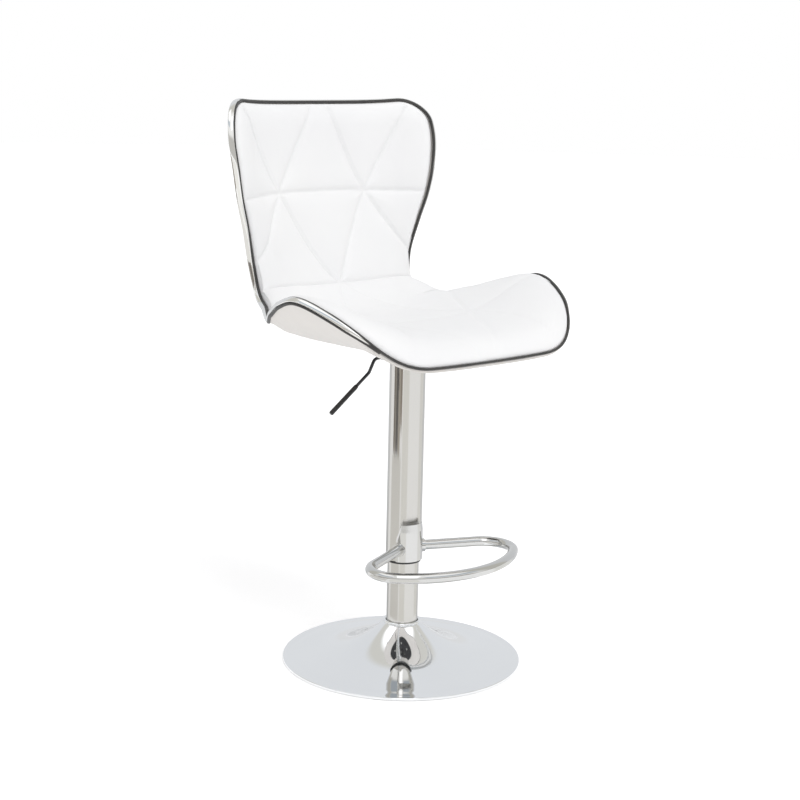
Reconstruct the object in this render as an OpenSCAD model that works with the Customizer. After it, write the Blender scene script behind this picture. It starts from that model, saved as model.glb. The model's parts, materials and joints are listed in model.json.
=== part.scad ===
// Adjustable swivel stool: trumpet base, telescoping gas-lift column, looped footrest,
// and a one-piece bucket seat with an edge trim between two pipings.
// Frame: origin on the column axis at the floor, +Z up, the sitter faces -Y, X is lateral.
// The stool is drawn at its lowest height, with all nodes in that pose. Units: mm.

/* [Base] */
// Outer diameter of the trumpet base
base_d = 381; // [376:1:420]
// Thickness of the pressed steel base shell
base_t = 1.6; // [1.2:0.2:2.4]
// Height of the underside of the rolled rim above the floor
rim_lift = 1.0; // [0.6:0.2:1.6]
// Slope of the flat part of the base, degrees
base_slope = 4.5; // [4.4:0.1:5]
// Radius of the concave sweep from the flat part up to the neck
sweep_r = 180; // [176:1:184]
// Height of the centre of the rolled bead round the neck
bead_z = 63.8; // [63:0.2:64.2]
// Radius of the rolled bead's section
bead_r = 2.4; // [2.2:0.1:2.6]

/* [Column] */
// Outer diameter of the fixed lower tube
lower_d = 50; // [49:0.5:50.4]
// Wall of the lower tube
lower_wall = 1.5; // [1.2:0.1:2]
// Height of the top of the lower tube above the floor
lower_top = 420; // [410:2:430]
// Outer diameter of the sliding upper tube
upper_d = 56.5; // [56:0.5:58]
// Wall of the upper tube
upper_wall = 1.2; // [1:0.1:1.5]
// Height of the lower mouth of the upper tube in the lowest position
mouth_z = 168; // [150:2:180]
// Radial running clearance of sliding and turning pairs
run_gap = 0.05; // [0.02:0.01:0.08]
// Full travel of the gas lift
stroke = 200; // [160:10:205]
// Outer diameter of the gas cylinder
cyl_d = 28; // [27:0.5:28.5]
// Diameter of the piston rod
rod_d = 10; // [9:0.5:11]

/* [Footrest] */
// Outer diameter of the footrest tube
foot_d = 16; // [14:0.5:17]
// Height of the footrest centreline in the lowest position
foot_z = 188; // [182:1:194]
// Radius of the wide front bow of the footrest centreline
bow_r = 175; // [170:1:180]
// Radius of the two corners of the footrest centreline
corner_r = 44; // [40:1:48]
// Sideways angle at which the arms leave the column, degrees forward of square
arm_angle = 24; // [22:1:27]
// Top of the footrest saddle above the mouth of the upper tube
saddle_h = 60; // [50:1:64]
// Wall of the footrest saddle
saddle_t = 2; // [1.6:0.2:2.6]

/* [Seat] */
// Depth of the edge from front piping to rear piping, along the seat
edge_depth = 9; // [8.5:0.5:10]
// The same along the back
back_depth = 7.5; // [7.5:0.5:9]
// Extra depth of the shell and rear pad away from the edge
belly = 8; // [7:0.5:8.5]
// Radius of the front corners of the seat outline
front_corner = 80; // [70:2:90]
// Radius of the top corners of the back outline
top_corner = 38; // [32:2:46]
// Radius of the piping cord
piping_r = 2.25; // [2:0.05:2.3]
// Height of the flat underside the seat plate is bolted to
plate_top = 509.6; // [509:0.2:510]
// Width over which the pads roll down to the piping
roll_off = 34; // [28:1:40]
// Extra width of that roll along the sides of the seat
wing_roll = 30; // [20:2:36]

/* [Lever] */
// Diameter of the lever rod
lever_d = 5; // [4.5:0.5:6]
// Diameter of the lever grip sleeve
grip_d = 7.8; // [7.6:0.2:9.6]

/* [Hidden] */
$fn = 96;
base_r = base_d / 2;
lower_r = lower_d / 2;
lower_in = lower_r - lower_wall;
upper_r = upper_d / 2;
upper_in = upper_r - upper_wall;
cyl_r = cyl_d / 2;
rod_r = rod_d / 2;
foot_r = foot_d / 2;
rim_top = rim_lift + 4;
rim_in = base_r - base_t;
flat_in = 144;
flat_z = rim_top + (base_r - flat_in) * tan(base_slope);
sweep_x = flat_in + sweep_r * sin(base_slope);
sweep_z = flat_z + sweep_r * cos(base_slope);
neck_top = bead_z - 1.8;
bead_x = sweep_x - sqrt(pow(sweep_r, 2) - pow(sweep_z - neck_top, 2)) - 1.8;

// Heights of the pieces stacked inside the column
deck_z = 11.5;
plug_h = 10;
race_z = deck_z + plug_h;
race_h = 2.6;
ball_r = 2;
ball_z = race_z + race_h + ball_r - 0.4;
race2_z = race_z + race_h + 2 * ball_r - 0.8;
collar_z = race2_z + race_h;
cyl_z0 = 44;
taper_z = 450;
hub_z0 = 452;
cyl_top = 491;
piston_z = cyl_z0 + stroke + 34;

// Seat plate, lift housing and lever levels
plate_t = 3;
plate_z = plate_top - plate_t;
house_z = 488.5;
house_x = 34;
house_y = 24;
house_t = 2.5;
lever_z = 502;
pivot_x = -26;
button_top = lever_z - lever_d / 2 - 0.3;
bolt_x = 44;
bolt_y = 50;

// Stations of the seat sheet, the surface the front piping lies on, from the front edge of
// the seat (station 0) over the fold to the top edge of the back (station 14). Each station:
// centreline y, centreline z, half width, edge rise in y, edge rise in z, power of the
// cross curve, thickness of the front pad.
ST = [
  [-181.5, 512.5, 197, -11, 10, 3.0, 26],
  [-130, 523, 215, -9.5, 43, 2.9, 30],
  [-82, 526.5, 237.5, 0.5, 71, 2.8, 30],
  [-33, 527, 247.5, -1, 82, 2.8, 30],
  [16, 527.5, 241.5, -4, 69.5, 2.8, 30],
  [64, 530, 221, -3.5, 46, 2.8, 29],
  [111, 539, 189, -1, 25.5, 2.8, 27],
  [153, 556, 168.5, -8, 12, 2.8, 25],
  [187, 581, 158, -11, 3, 3.0, 24],
  [209, 622, 162, -23.5, 6, 3.3, 22],
  [225, 670, 175.5, -45, 12, 3.6, 21],
  [236, 718, 190, -61, 10, 3.8, 21],
  [242, 766, 199, -68.5, 8, 4.0, 20],
  [242, 820, 203.5, -62.5, 6, 4.2, 19],
  [236.5, 875, 193.5, -43, 9.5, 4.6, 16]
];
TOP = len(ST) - 1;
waist = 6;
waist_drop = 7;

function ghost(i) = i < 0 ? 2 * ST[0] - ST[1] : i > TOP ? 2 * ST[TOP] - ST[TOP - 1] : ST[i];
function curve(a, b, c, d, f) =
  0.5 * (2 * b + (c - a) * f + (2 * a - 5 * b + 4 * c - d) * f * f + (3 * b - a - 3 * c + d) * f * f * f);
function seg(t) = max(0, min(TOP - 1, floor(t)));
function station(t) = let (i = seg(t)) curve(ghost(i - 1), ST[i], ghost(i + 1), ghost(i + 2), t - i);
function drop(t) = waist_drop * max(0, 1 - abs(t - waist) / 0.9);
function sheet(x, t) =
  let (s = station(t), k = pow(abs(x) / s[2], s[5])) [x, s[0] + s[3] * k, s[1] + (s[4] - drop(t)) * k];
function unit(v) = v / norm(v);
function normal(x, t) =
  unit(cross(sheet(x + 1, t) - sheet(x - 1, t), sheet(x, t + 0.04) - sheet(x, t - 0.04)));
function off(x, t, d) = sheet(x, t) + normal(x, t) * d;
function ramp(a) = let (b = max(0, min(1, a))) b * b * (3 - 2 * b);

// Distance of a station from the front edge and from the top edge, along the centreline
step_f = norm([ST[1][0] - ST[0][0], ST[1][1] - ST[0][1]]);
step_t = norm([ST[TOP][0] - ST[TOP - 1][0], ST[TOP][1] - ST[TOP - 1][1]]);
function from_front(t) = t * step_f;
function from_top(t) = (TOP - t) * step_t;
function round_in(r, m, l) = l < r ? sqrt(max(0, pow(r - m, 2) - pow(r - l, 2))) - r : -m;
// Half width of the outline at a station, inset by m
function half(t, m) =
  station(t)[2] + min(round_in(front_corner, m, from_front(t)), round_in(top_corner, m, from_top(t)));

// Depth of the rear surface behind the sheet: shallow at the front edge, deepest in the middle
thin = 7.2;
function edge_at(t) = edge_depth + (back_depth - edge_depth) * ramp((t - 5.6) / 0.8);
function depth_mid(t) = thin + (edge_at(t) - thin) * ramp(from_front(t) / 34);
function depth_side(t) = thin + (edge_at(t) - thin) * ramp((from_front(t) - 26) / 84);
function depth(x, t) =
  let (k = pow(abs(x) / station(t)[2], 6), e = half(t, 0) - abs(x))
  depth_mid(t) * (1 - k) + depth_side(t) * k
  + belly * ramp(e / 45) * ramp(from_top(t) / 45) * ramp(from_front(t) / 60);
function core_depth(x, t) = max(1.6, min(10, depth(x, t) - 6.2));

// Roll-off of the pads towards their edges, wider along the sides of the seat
function quarter(d, w) = let (a = max(0, min(1, d / w))) sqrt(1 - (1 - a) * (1 - a));
function side_roll(t) = roll_off + wing_roll * ramp((7.4 - t) / 2.4);
function crown(x, t, m) =
  1.8 + (station(t)[6] - 1.8) * quarter(half(t, m) - abs(x), side_roll(t))
  * quarter(from_front(t) - m, roll_off) * quarter(from_top(t) - m, roll_off);

// The rear surface is filled down to one flat patch where the seat plate is bolted
function patch(x, y) = ramp((88 - abs(x)) / 24) * ramp((96 - abs(y)) / 24);
function rear(x, t) =
  let (p = off(x, t, -depth(x, t)), w = patch(p[0], p[1])) [p[0], p[1], p[2] + (plate_top + 0.05 - p[2]) * w];

// Rows of stations between the two ends, close together at the rounded corners
function rows(m, nf, nm, nt) =
  concat(
    [for (i = [0:nf - 1]) (m + (front_corner - m) * (1 - cos(90 * i / nf))) / step_f],
    [for (i = [0:nm]) front_corner / step_f + (TOP - top_corner / step_t - front_corner / step_f) * i / nm],
    [for (i = [1:nt]) TOP - (top_corner - (top_corner - m) * sin(90 * i / nt)) / step_t]
  );

function grid_faces(a, b) =
  let (n = a * b)
  concat(
    [for (i = [0:a - 2], j = [0:b - 2]) each [
      [i * b + j, (i + 1) * b + j, (i + 1) * b + j + 1],
      [i * b + j, (i + 1) * b + j + 1, i * b + j + 1]]],
    [for (i = [0:a - 2], j = [0:b - 2]) each [
      [n + i * b + j, n + (i + 1) * b + j + 1, n + (i + 1) * b + j],
      [n + i * b + j, n + i * b + j + 1, n + (i + 1) * b + j + 1]]],
    [for (i = [0:a - 2]) each [
      [i * b, n + i * b, n + (i + 1) * b],
      [i * b, n + (i + 1) * b, (i + 1) * b],
      [i * b + b - 1, n + (i + 1) * b + b - 1, n + i * b + b - 1],
      [i * b + b - 1, (i + 1) * b + b - 1, n + (i + 1) * b + b - 1]]],
    [for (j = [0:b - 2]) each [
      [j, n + j + 1, n + j],
      [j, j + 1, n + j + 1],
      [(a - 1) * b + j, n + (a - 1) * b + j, n + (a - 1) * b + j + 1],
      [(a - 1) * b + j, n + (a - 1) * b + j + 1, (a - 1) * b + j + 1]]]
  );
module slab(top, bottom) {
  a = len(top);
  b = len(top[0]);
  polyhedron([for (r = concat(top, bottom)) each r], grid_faces(a, b), convexity = 8);
}
function across(t, m, n) = [for (j = [0:n]) half(t, m) * sin(90 * (2 * j / n - 1))];

// The outline as a list of [x, station], anticlockwise seen from the sitter's side
straight_f = station(0)[2] - front_corner;
straight_t = station(TOP)[2] - top_corner;
side_rows = [for (t = rows(0, 8, 34, 6)) if (t > 0 && t < TOP) t];
right_side = [for (t = side_rows) [half(t, 0), t]];
left_side = [for (i = [len(side_rows) - 1:-1:0]) [-half(side_rows[i], 0), side_rows[i]]];
front_edge = [for (i = [-6:6]) [straight_f * i / 6, 0]];
top_edge = [for (i = [-6:6]) [-straight_t * i / 6, TOP]];
outline = concat(front_edge, right_side, top_edge, left_side);
// The part of the outline that the rear piping and the trim follow, without the front
trim_from = 31;
back_side = [for (p = right_side) if (from_front(p[1]) > trim_from) p];
back_left = [for (p = left_side) if (from_front(p[1]) > trim_from) p];
trim_line = concat(back_side, top_edge, back_left);

function along(c, i, closed) =
  let (n = len(c), a = closed ? c[(i + n - 1) % n] : c[max(i - 1, 0)], b = closed ? c[(i + 1) % n] : c[min(i + 1, n - 1)])
  unit(b - a);
// Points of a strip or cord: at each outline point a ring of [outwards, along normal] offsets
function swept(line, centre, sections, closed) =
  [for (i = [0:len(line) - 1])
    let (
      d = along(centre, i, closed),
      n0 = normal(line[i][0], line[i][1]),
      n = unit(n0 - d * (n0 * d)),
      o = cross(d, n)
    )
    [for (q = sections[i]) centre[i] + o * q[0] + n * q[1]]];
module sweep(rings, closed) {
  n = len(rings);
  k = len(rings[0]);
  last = closed ? n - 1 : n - 2;
  skin = [for (i = [0:last], j = [0:k - 1]) each [
    [i * k + j, ((i + 1) % n) * k + j, ((i + 1) % n) * k + (j + 1) % k],
    [i * k + j, ((i + 1) % n) * k + (j + 1) % k, i * k + (j + 1) % k]]];
  ends = closed ? [] : concat(
    [for (j = [1:k - 2]) [0, j, j + 1]],
    [for (j = [1:k - 2]) [(n - 1) * k, (n - 1) * k + j + 1, (n - 1) * k + j]]);
  polyhedron([for (r = rings) each r], concat(skin, ends), convexity = 8);
}
cord_n = 8;
function cord(r) = [for (j = [0:cord_n - 1]) r * [cos(360 * j / cord_n), -sin(360 * j / cord_n)]];

// Footrest centreline: arm, corner arc, front bow, each tangent to the next
arm_x = 24;
arm_y = -16;
dir = [cos(arm_angle), -sin(arm_angle)];
inw = [-sin(arm_angle), -cos(arm_angle)];
bow_y = 1;
q0 = [arm_x, arm_y - bow_y] + corner_r * inw;
q_b = q0 * dir;
q_c = q0 * q0 - pow(bow_r - corner_r, 2);
arm_len = -q_b + sqrt(q_b * q_b - q_c);
cor = q0 + arm_len * dir + [0, bow_y];
bow_half = atan2(cor[0], bow_y - cor[1]);

// ---- base ----
module base_region(d) {
  a = base_slope;
  z_rim = rim_top - d / cos(a);
  polygon([[-1, rim_lift - (d > 0 ? 5 : 0)], [base_r - d, rim_lift - (d > 0 ? 5 : 0)], [base_r - d, z_rim + d * tan(a)],
    [flat_in - d * sin(a), flat_z - d * cos(a)], [-1, flat_z - d * cos(a)]]);
  difference() {
    translate([-1, rim_lift]) square([flat_in - d * sin(a) + 1, neck_top - rim_lift + (d > 0 ? 1 : 0)]);
    translate([sweep_x, sweep_z]) circle(sweep_r + d, $fn = 200);
  }
}
module base_shell() {
  color([0.80, 0.81, 0.83])
  rotate_extrude($fn = 180) {
    difference() {
      base_region(0);
      base_region(base_t);
    }
    translate([bead_x, bead_z]) circle(bead_r, $fn = 40);
  }
}
function under_z(r) = rim_top + (base_r - r) * tan(base_slope) - base_t / cos(base_slope);
module foot_ring() {
  r1 = rim_in - 0.3;
  r0 = r1 - 8;
  color([0.07, 0.07, 0.07])
  rotate_extrude($fn = 180)
    polygon([[r0, 0], [r1, 0], [r1, under_z(r1) - 0.02], [r0, under_z(r0) - 0.02]]);
}
screw_r = 15.5;
module ballast_plate() {
  r = 170;
  step = 72;
  z0 = 1.5;
  color([0.28, 0.28, 0.29])
  difference() {
    rotate_extrude($fn = 120)
      polygon([[9, z0], [r, z0], [r, under_z(r) - 0.02], [step, under_z(r) - 0.02], [step, deck_z], [9, deck_z]]);
    for (a = [0, 120, 240])
      rotate([0, 0, a]) translate([screw_r, 0, 0]) {
        translate([0, 0, z0 - 1]) cylinder(h = 4.6, r = 4.8, $fn = 32);
        cylinder(h = 20, r = 2.8, $fn = 32);
      }
  }
}
module hub_sleeve() {
  color([0.55, 0.55, 0.56])
  translate([0, 0, deck_z])
  difference() {
    cylinder(h = 40, r = lower_r + 3);
    translate([0, 0, -1]) cylinder(h = 42, r = lower_r + 0.03);
  }
}
module base_plug() {
  color([0.55, 0.55, 0.56])
  translate([0, 0, deck_z])
  difference() {
    cylinder(h = plug_h, r = lower_in - 0.02);
    translate([0, 0, -1]) cylinder(h = plug_h + 2, r = rod_r + run_gap, $fn = 48);
    for (a = [0, 120, 240])
      rotate([0, 0, a]) translate([screw_r, 0, -1]) cylinder(h = 8.5, r = 2.5, $fn = 32);
  }
}
module base_screws() {
  color([0.62, 0.62, 0.60])
  for (a = [0, 120, 240])
    rotate([0, 0, a]) translate([screw_r, 0, 0])
    difference() {
      union() {
        translate([0, 0, 4.9]) cylinder(h = 13.5, r = 2.48, $fn = 32);
        translate([0, 0, 2]) cylinder(h = 3, r = 4.4, $fn = 32);
      }
      translate([0, 0, 1]) cylinder(h = 2.8, r = 2.2, $fn = 6);
    }
}
module lower_tube() {
  color([0.82, 0.82, 0.81])
  translate([0, 0, deck_z])
  difference() {
    cylinder(h = lower_top - deck_z, r = lower_r, $fn = 128);
    translate([0, 0, -1]) cylinder(h = lower_top - deck_z + 2, r = lower_in, $fn = 128);
  }
}
module guide_bush() {
  color([0.12, 0.12, 0.13])
  difference() {
    union() {
      translate([0, 0, lower_top - 80]) cylinder(h = 80, r = lower_in);
      translate([0, 0, lower_top]) cylinder(h = 2, r = lower_r - 0.3);
    }
    translate([0, 0, lower_top - 81]) cylinder(h = 84, r = cyl_r + run_gap);
  }
}

// ---- thrust bearing under the piston rod ----
track_r = 9;
module race(z) {
  difference() {
    translate([0, 0, z]) cylinder(h = race_h, r = 12.5);
    translate([0, 0, z - 1]) cylinder(h = race_h + 2, r = rod_r + 0.3);
    rotate_extrude() translate([track_r, ball_z]) circle(ball_r + run_gap, $fn = 40);
  }
}
module lower_race() {
  color([0.70, 0.70, 0.70]) race(race_z);
}
module bearing_cage() {
  color([0.72, 0.55, 0.25])
  difference() {
    translate([0, 0, ball_z - 0.6]) cylinder(h = 1.2, r = 12);
    translate([0, 0, ball_z - 1]) cylinder(h = 2, r = rod_r + 0.6);
    for (a = [0:40:320])
      rotate([0, 0, a]) translate([track_r, 0, ball_z - 1]) cylinder(h = 2, r = ball_r + 0.08, $fn = 32);
  }
}
module bearing_balls() {
  color([0.75, 0.75, 0.76])
  for (a = [0:40:320])
    rotate([0, 0, a]) translate([track_r, 0, ball_z]) sphere(ball_r, $fn = 24);
}
module upper_race() {
  color([0.70, 0.70, 0.70]) race(race2_z);
}
module piston_rod() {
  color([0.78, 0.78, 0.79])
  rotate_extrude($fn = 64)
    polygon([[0, 6.5], [rod_r - 0.5, 6.5], [rod_r, 7], [rod_r, 9.4], [rod_r - 0.8, 9.4], [rod_r - 0.8, 11],
      [rod_r, 11], [rod_r, collar_z + 0.02], [9, collar_z + 0.02], [9, collar_z + 3], [rod_r, collar_z + 3],
      [rod_r, piston_z], [3.5, piston_z], [3.5, piston_z + 15], [0, piston_z + 15]]);
}
module piston() {
  color([0.20, 0.20, 0.22])
  translate([0, 0, piston_z])
  difference() {
    cylinder(h = 14, r = cyl_r - 2 - run_gap);
    translate([0, 0, -1]) cylinder(h = 16, r = 3.5, $fn = 64);
    translate([0, 0, 5]) difference() {
      cylinder(h = 3, r = cyl_r);
      translate([0, 0, -1]) cylinder(h = 5, r = cyl_r - 3.4);
    }
  }
}
module rod_clip() {
  color([0.35, 0.35, 0.36])
  translate([0, 0, 9.5])
  difference() {
    cylinder(h = 1.4, r = 8, $fn = 64);
    translate([0, 0, -1]) cylinder(h = 4, r = rod_r - 0.78, $fn = 64);
    translate([0, -2, -1]) cube([12, 4, 4]);
  }
}

// ---- gas lift and upper tube ----
module gas_cylinder() {
  color([0.10, 0.10, 0.11])
  rotate_extrude($fn = 96)
    polygon([[cyl_r - 2, cyl_z0], [cyl_r, cyl_z0], [cyl_r, taper_z], [cyl_r - 1.2, cyl_top], [3.05, cyl_top],
      [3.05, 440], [cyl_r - 2, 440]]);
}
module cylinder_gland() {
  color([0.25, 0.25, 0.27])
  translate([0, 0, cyl_z0 + 1])
  difference() {
    cylinder(h = 12, r = cyl_r - 2.01);
    translate([0, 0, -1]) cylinder(h = 14, r = rod_r + run_gap, $fn = 64);
  }
}
module upper_tube() {
  color([0.82, 0.82, 0.81])
  translate([0, 0, mouth_z])
  difference() {
    cylinder(h = house_z - mouth_z, r = upper_r, $fn = 128);
    translate([0, 0, -1]) cylinder(h = house_z - mouth_z + 2, r = upper_in, $fn = 128);
  }
}
module mouth_bush() {
  color([0.05, 0.05, 0.05])
  difference() {
    union() {
      translate([0, 0, mouth_z - 3.5]) cylinder(h = 3.5, r = upper_r - 0.4);
      translate([0, 0, mouth_z]) cylinder(h = 42, r = upper_in);
    }
    translate([0, 0, mouth_z - 5]) cylinder(h = 50, r = lower_r + run_gap);
  }
}
module tube_cap() {
  color([0.60, 0.60, 0.60])
  translate([0, 0, 441])
  difference() {
    cylinder(h = 5, r = upper_in - 0.01);
    translate([0, 0, -1]) cylinder(h = 7, r = cyl_r + 0.02);
  }
}

// ---- footrest ----
saddle_out = upper_r + saddle_t;
module footrest_saddle() {
  top = mouth_z + saddle_h;
  w1 = saddle_out * sin(44);
  w2 = saddle_out * sin(62);
  color([0.80, 0.80, 0.80])
  intersection() {
    rotate_extrude()
      polygon([[upper_r + 0.02, mouth_z], [saddle_out, mouth_z], [saddle_out, top - 12],
        [upper_r + 0.4, top], [upper_r + 0.02, top]]);
    rotate([90, 0, 0]) linear_extrude(height = 60)
      polygon([[-w2, 0], [w2, 0], [w2, foot_z + 13], [w1, top + 5], [-w1, top + 5], [-w2, foot_z + 13]]);
    translate([-50, -60, 0]) cube([100, 60 - 12, 400]);
  }
}
module arm_place(s) {
  translate([arm_x + s * dir[0], arm_y + s * dir[1], foot_z])
    rotate([0, 0, -arm_angle]) rotate([0, 90, 0]) children();
}
// Centreline of the footrest in plan: arm, corner arc, bow, corner arc, arm, tangent throughout
a_arm = 90 - arm_angle;
a_bow = bow_half - 90;
half_path = concat(
  [[arm_x, arm_y], [arm_x, arm_y] + (arm_len - 4) * dir],
  [for (i = [0:15]) let (a = a_arm + (a_bow - a_arm) * i / 15) cor + corner_r * [cos(a), sin(a)]],
  [for (i = [1:9]) let (a = a_bow + (-90 - a_bow) * i / 9) [0, bow_y] + bow_r * [cos(a), sin(a)]]
);
hp = len(half_path);
foot_path = concat(half_path, [for (i = [hp - 2:-1:0]) [-half_path[i][0], half_path[i][1]]]);
module hollow_tube(path, r1, r2, k) {
  n = len(path);
  rings = [for (i = [0:n - 1])
    let (d = unit(path[min(i + 1, n - 1)] - path[max(i - 1, 0)]), o = [-d[1], d[0]])
    concat(
      [for (j = [0:k - 1]) [each path[i] + o * r1 * cos(360 * j / k), foot_z + r1 * sin(360 * j / k)]],
      [for (j = [0:k - 1]) [each path[i] + o * r2 * cos(360 * j / k), foot_z + r2 * sin(360 * j / k)]])];
  w = 2 * k;
  skin = [for (i = [0:n - 2], j = [0:k - 1]) let (q = (j + 1) % k) each [
    [i * w + j, (i + 1) * w + j, (i + 1) * w + q],
    [i * w + j, (i + 1) * w + q, i * w + q],
    [i * w + k + j, (i + 1) * w + k + q, (i + 1) * w + k + j],
    [i * w + k + j, i * w + k + q, (i + 1) * w + k + q]]];
  e = (n - 1) * w;
  ends = [for (j = [0:k - 1]) let (q = (j + 1) % k) each [
    [j, q, k + q], [j, k + q, k + j],
    [e + j, e + k + q, e + q], [e + j, e + k + j, e + k + q]]];
  polyhedron([for (r = rings) each r], concat(skin, ends), convexity = 8);
}
module footrest_ring() {
  color([0.82, 0.82, 0.82])
  difference() {
    hollow_tube(foot_path, foot_r, foot_r - 1.5, 18);
    translate([0, 0, foot_z - 30]) cylinder(h = 60, r = saddle_out + 0.05, $fn = 128);
    for (m = [0, 1]) mirror([m, 0, 0]) arm_place(-12) cylinder(h = 12.55, r = 12, $fn = 48);
    for (m = [0, 1]) mirror([m, 0, 0]) grub_hole(2.5, 12);
  }
}
grub_s = 19;
module grub_hole(r, reach) {
  translate([arm_x + grub_s * dir[0], arm_y + grub_s * dir[1], foot_z])
    rotate([0, 0, -arm_angle]) rotate([115, 0, 0]) cylinder(h = reach, r = r, $fn = 32);
}
module footrest_flanges() {
  color([0.80, 0.78, 0.75])
  for (m = [0, 1]) mirror([m, 0, 0]) {
    difference() {
      union() {
        difference() {
          arm_place(-4) cylinder(h = 8, r = 10.6, $fn = 64);
          arm_place(-5) cylinder(h = 20, r = foot_r + 0.02, $fn = 64);
        }
        arm_place(-4) cylinder(h = 34, r = foot_r - 1.65, $fn = 64);
        arm_place(-4) cylinder(h = 4.5, r = 9, $fn = 64);
      }
      translate([0, 0, foot_z - 30]) cylinder(h = 60, r = saddle_out + 0.03, $fn = 128);
      grub_hole(2.5, 12);
    }
  }
}
module footrest_screws() {
  color([0.15, 0.15, 0.16])
  for (m = [0, 1]) mirror([m, 0, 0])
    difference() {
      intersection() {
        grub_hole(2.4, foot_r - 0.6);
        arm_place(0) difference() {
          cylinder(h = 60, r = foot_r, $fn = 64);
          translate([0, 0, -1]) cylinder(h = 62, r = 1, $fn = 64);
        }
      }
      grub_hex();
    }
}
module grub_hex() {
  translate([arm_x + grub_s * dir[0], arm_y + grub_s * dir[1], foot_z])
    rotate([0, 0, -arm_angle]) rotate([115, 0, 0])
    translate([0, 0, foot_r - 2.6]) cylinder(h = 4, r = 1.3, $fn = 6);
}

// ---- seat plate and lift housing ----
module plate_holes(r, z, h) {
  for (x = [-bolt_x, bolt_x], y = [-bolt_y, bolt_y])
    translate([x, y, z]) cylinder(h = h, r = r, $fn = 40);
}
module seat_plate() {
  color([0.09, 0.09, 0.10])
  difference() {
    union() {
      translate([-62, -58, plate_z]) cube([124, 116, plate_t]);
      translate([-50, -70, plate_z]) cube([100, 140, plate_t]);
      for (x = [-50, 50], y = [-58, 58]) translate([x, y, plate_z]) cylinder(h = plate_t, r = 12, $fn = 48);
    }
    plate_holes(3.3, plate_z - 1, plate_t + 2);
  }
}
pin_z = lever_z - 2.5;
module lift_housing() {
  color([0.09, 0.09, 0.10])
  difference() {
    translate([-house_x, -house_y, house_z]) cube([2 * house_x, 2 * house_y, plate_z - house_z]);
    translate([-house_x - 1, -house_y + house_t, house_z + house_t])
      cube([2 * house_x + 2, 2 * (house_y - house_t), 40]);
    translate([0, 0, house_z - 1]) cylinder(h = 10, r = 20.52);
    translate([pivot_x, 40, pin_z]) rotate([90, 0, 0]) cylinder(h = 80, r = 3.02, $fn = 48);
  }
}
module taper_hub() {
  color([0.30, 0.30, 0.31])
  rotate_extrude()
    polygon([[cyl_r + 0.01, hub_z0 - 2], [20.5, hub_z0 - 2], [20.5, house_z + house_t], [cyl_r - 1.19, cyl_top],
      [cyl_r + 0.01, taper_z]]);
}
module lever_pin() {
  color([0.62, 0.62, 0.62])
  translate([pivot_x, house_y + 2.5, pin_z]) rotate([90, 0, 0]) {
    cylinder(h = 2 * house_y + 5, r = 3, $fn = 48);
    cylinder(h = 2.4, r = 4.5, $fn = 48);
  }
}
module seat_bolts() {
  color([0.62, 0.62, 0.60])
  for (x = [-bolt_x, bolt_x], y = [-bolt_y, bolt_y])
    translate([x, y, 0])
    difference() {
      union() {
        translate([0, 0, plate_z - 1.3]) cylinder(h = 18.4, r = 2.98, $fn = 40);
        translate([0, 0, plate_z - 5.4]) cylinder(h = 4.2, r = 5, $fn = 40);
      }
      translate([0, 0, plate_z - 6]) cylinder(h = 3.2, r = 2.6, $fn = 6);
    }
}
module bolt_washers() {
  color([0.68, 0.68, 0.66])
  difference() {
    plate_holes(6.4, plate_z - 1.2, 1.2);
    plate_holes(3.2, plate_z - 2, 4);
  }
}
module threaded_inserts() {
  color([0.70, 0.60, 0.35])
  difference() {
    plate_holes(4.5, 518.2, 7.4);
    plate_holes(3, 517, 10);
  }
}

// ---- seat ----
pad_m = 2.9;
pad_rows = rows(pad_m, 8, 30, 6);
// The rear piping is tucked in behind the trim, and the rear pad stops inside it
tuck = 2;
rear_m = pad_m + tuck + 0.2;
rear_rows = rows(rear_m, 8, 30, 6);
// The core stops short of the edge, on rows and columns it shares with the rear pad
function core_across(t) = [for (j = [2:18]) half(t, rear_m) * sin(90 * (2 * j / 20 - 1))];
module shell_core() {
  rs = [for (t = rear_rows) if (from_front(t) > 34 && from_top(t) > 13) t];
  color([0.72, 0.58, 0.40])
  difference() {
    slab(
      [for (t = rs) [for (x = core_across(t)) off(x, t, -0.8)]],
      [for (t = rs) [for (x = core_across(t)) off(x, t, 0.3 - core_depth(x, t))]]
    );
    plate_holes(4.5, 500, 25.6);
  }
}
module front_pad() {
  color([0.95, 0.95, 0.94])
  slab(
    [for (t = pad_rows) [for (x = across(t, pad_m, 20)) off(x, t, crown(x, t, pad_m))]],
    [for (t = pad_rows) [for (x = across(t, pad_m, 20)) off(x, t, 0.2)]]
  );
}
module rear_pad() {
  color([0.93, 0.92, 0.90])
  difference() {
    slab(
      [for (t = rear_rows) [for (x = across(t, rear_m, 20)) off(x, t, -core_depth(x, t) - 0.3)]],
      [for (t = rear_rows) [for (x = across(t, rear_m, 20)) rear(x, t)]]
    );
    plate_holes(3.3, 500, 40);
    plate_holes(4.6, 518, 12);
  }
}
module edge_trim() {
  line = [for (p = trim_line) if (depth(p[0], p[1]) > 6.4) p];
  mid = [for (p = line) off(p[0], p[1], -(depth(p[0], p[1]) + piping_r - 0.4) / 2)];
  color([0.85, 0.85, 0.86])
  sweep(swept(line, mid,
    [for (p = line) let (h = (depth(p[0], p[1]) - piping_r - 1.2) / 2)
      [[0.5, h], [1.6, h], [2.7, h / 2], [3, 0], [2.7, -h / 2], [1.6, -h], [0.5, -h]]], false), false);
}
module front_piping() {
  color([0.10, 0.10, 0.10])
  sweep(swept(outline, [for (p = outline) sheet(p[0], p[1])], [for (p = outline) cord(piping_r)], true), true);
}
module rear_piping() {
  color([0.10, 0.10, 0.10])
  sweep(swept(trim_line, [for (p = trim_line) off(p[0], p[1], -depth(p[0], p[1]) - 0.1)],
    [for (p = trim_line) [for (q = cord(piping_r)) q - [tuck, 0]]], false), false);
}

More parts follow.
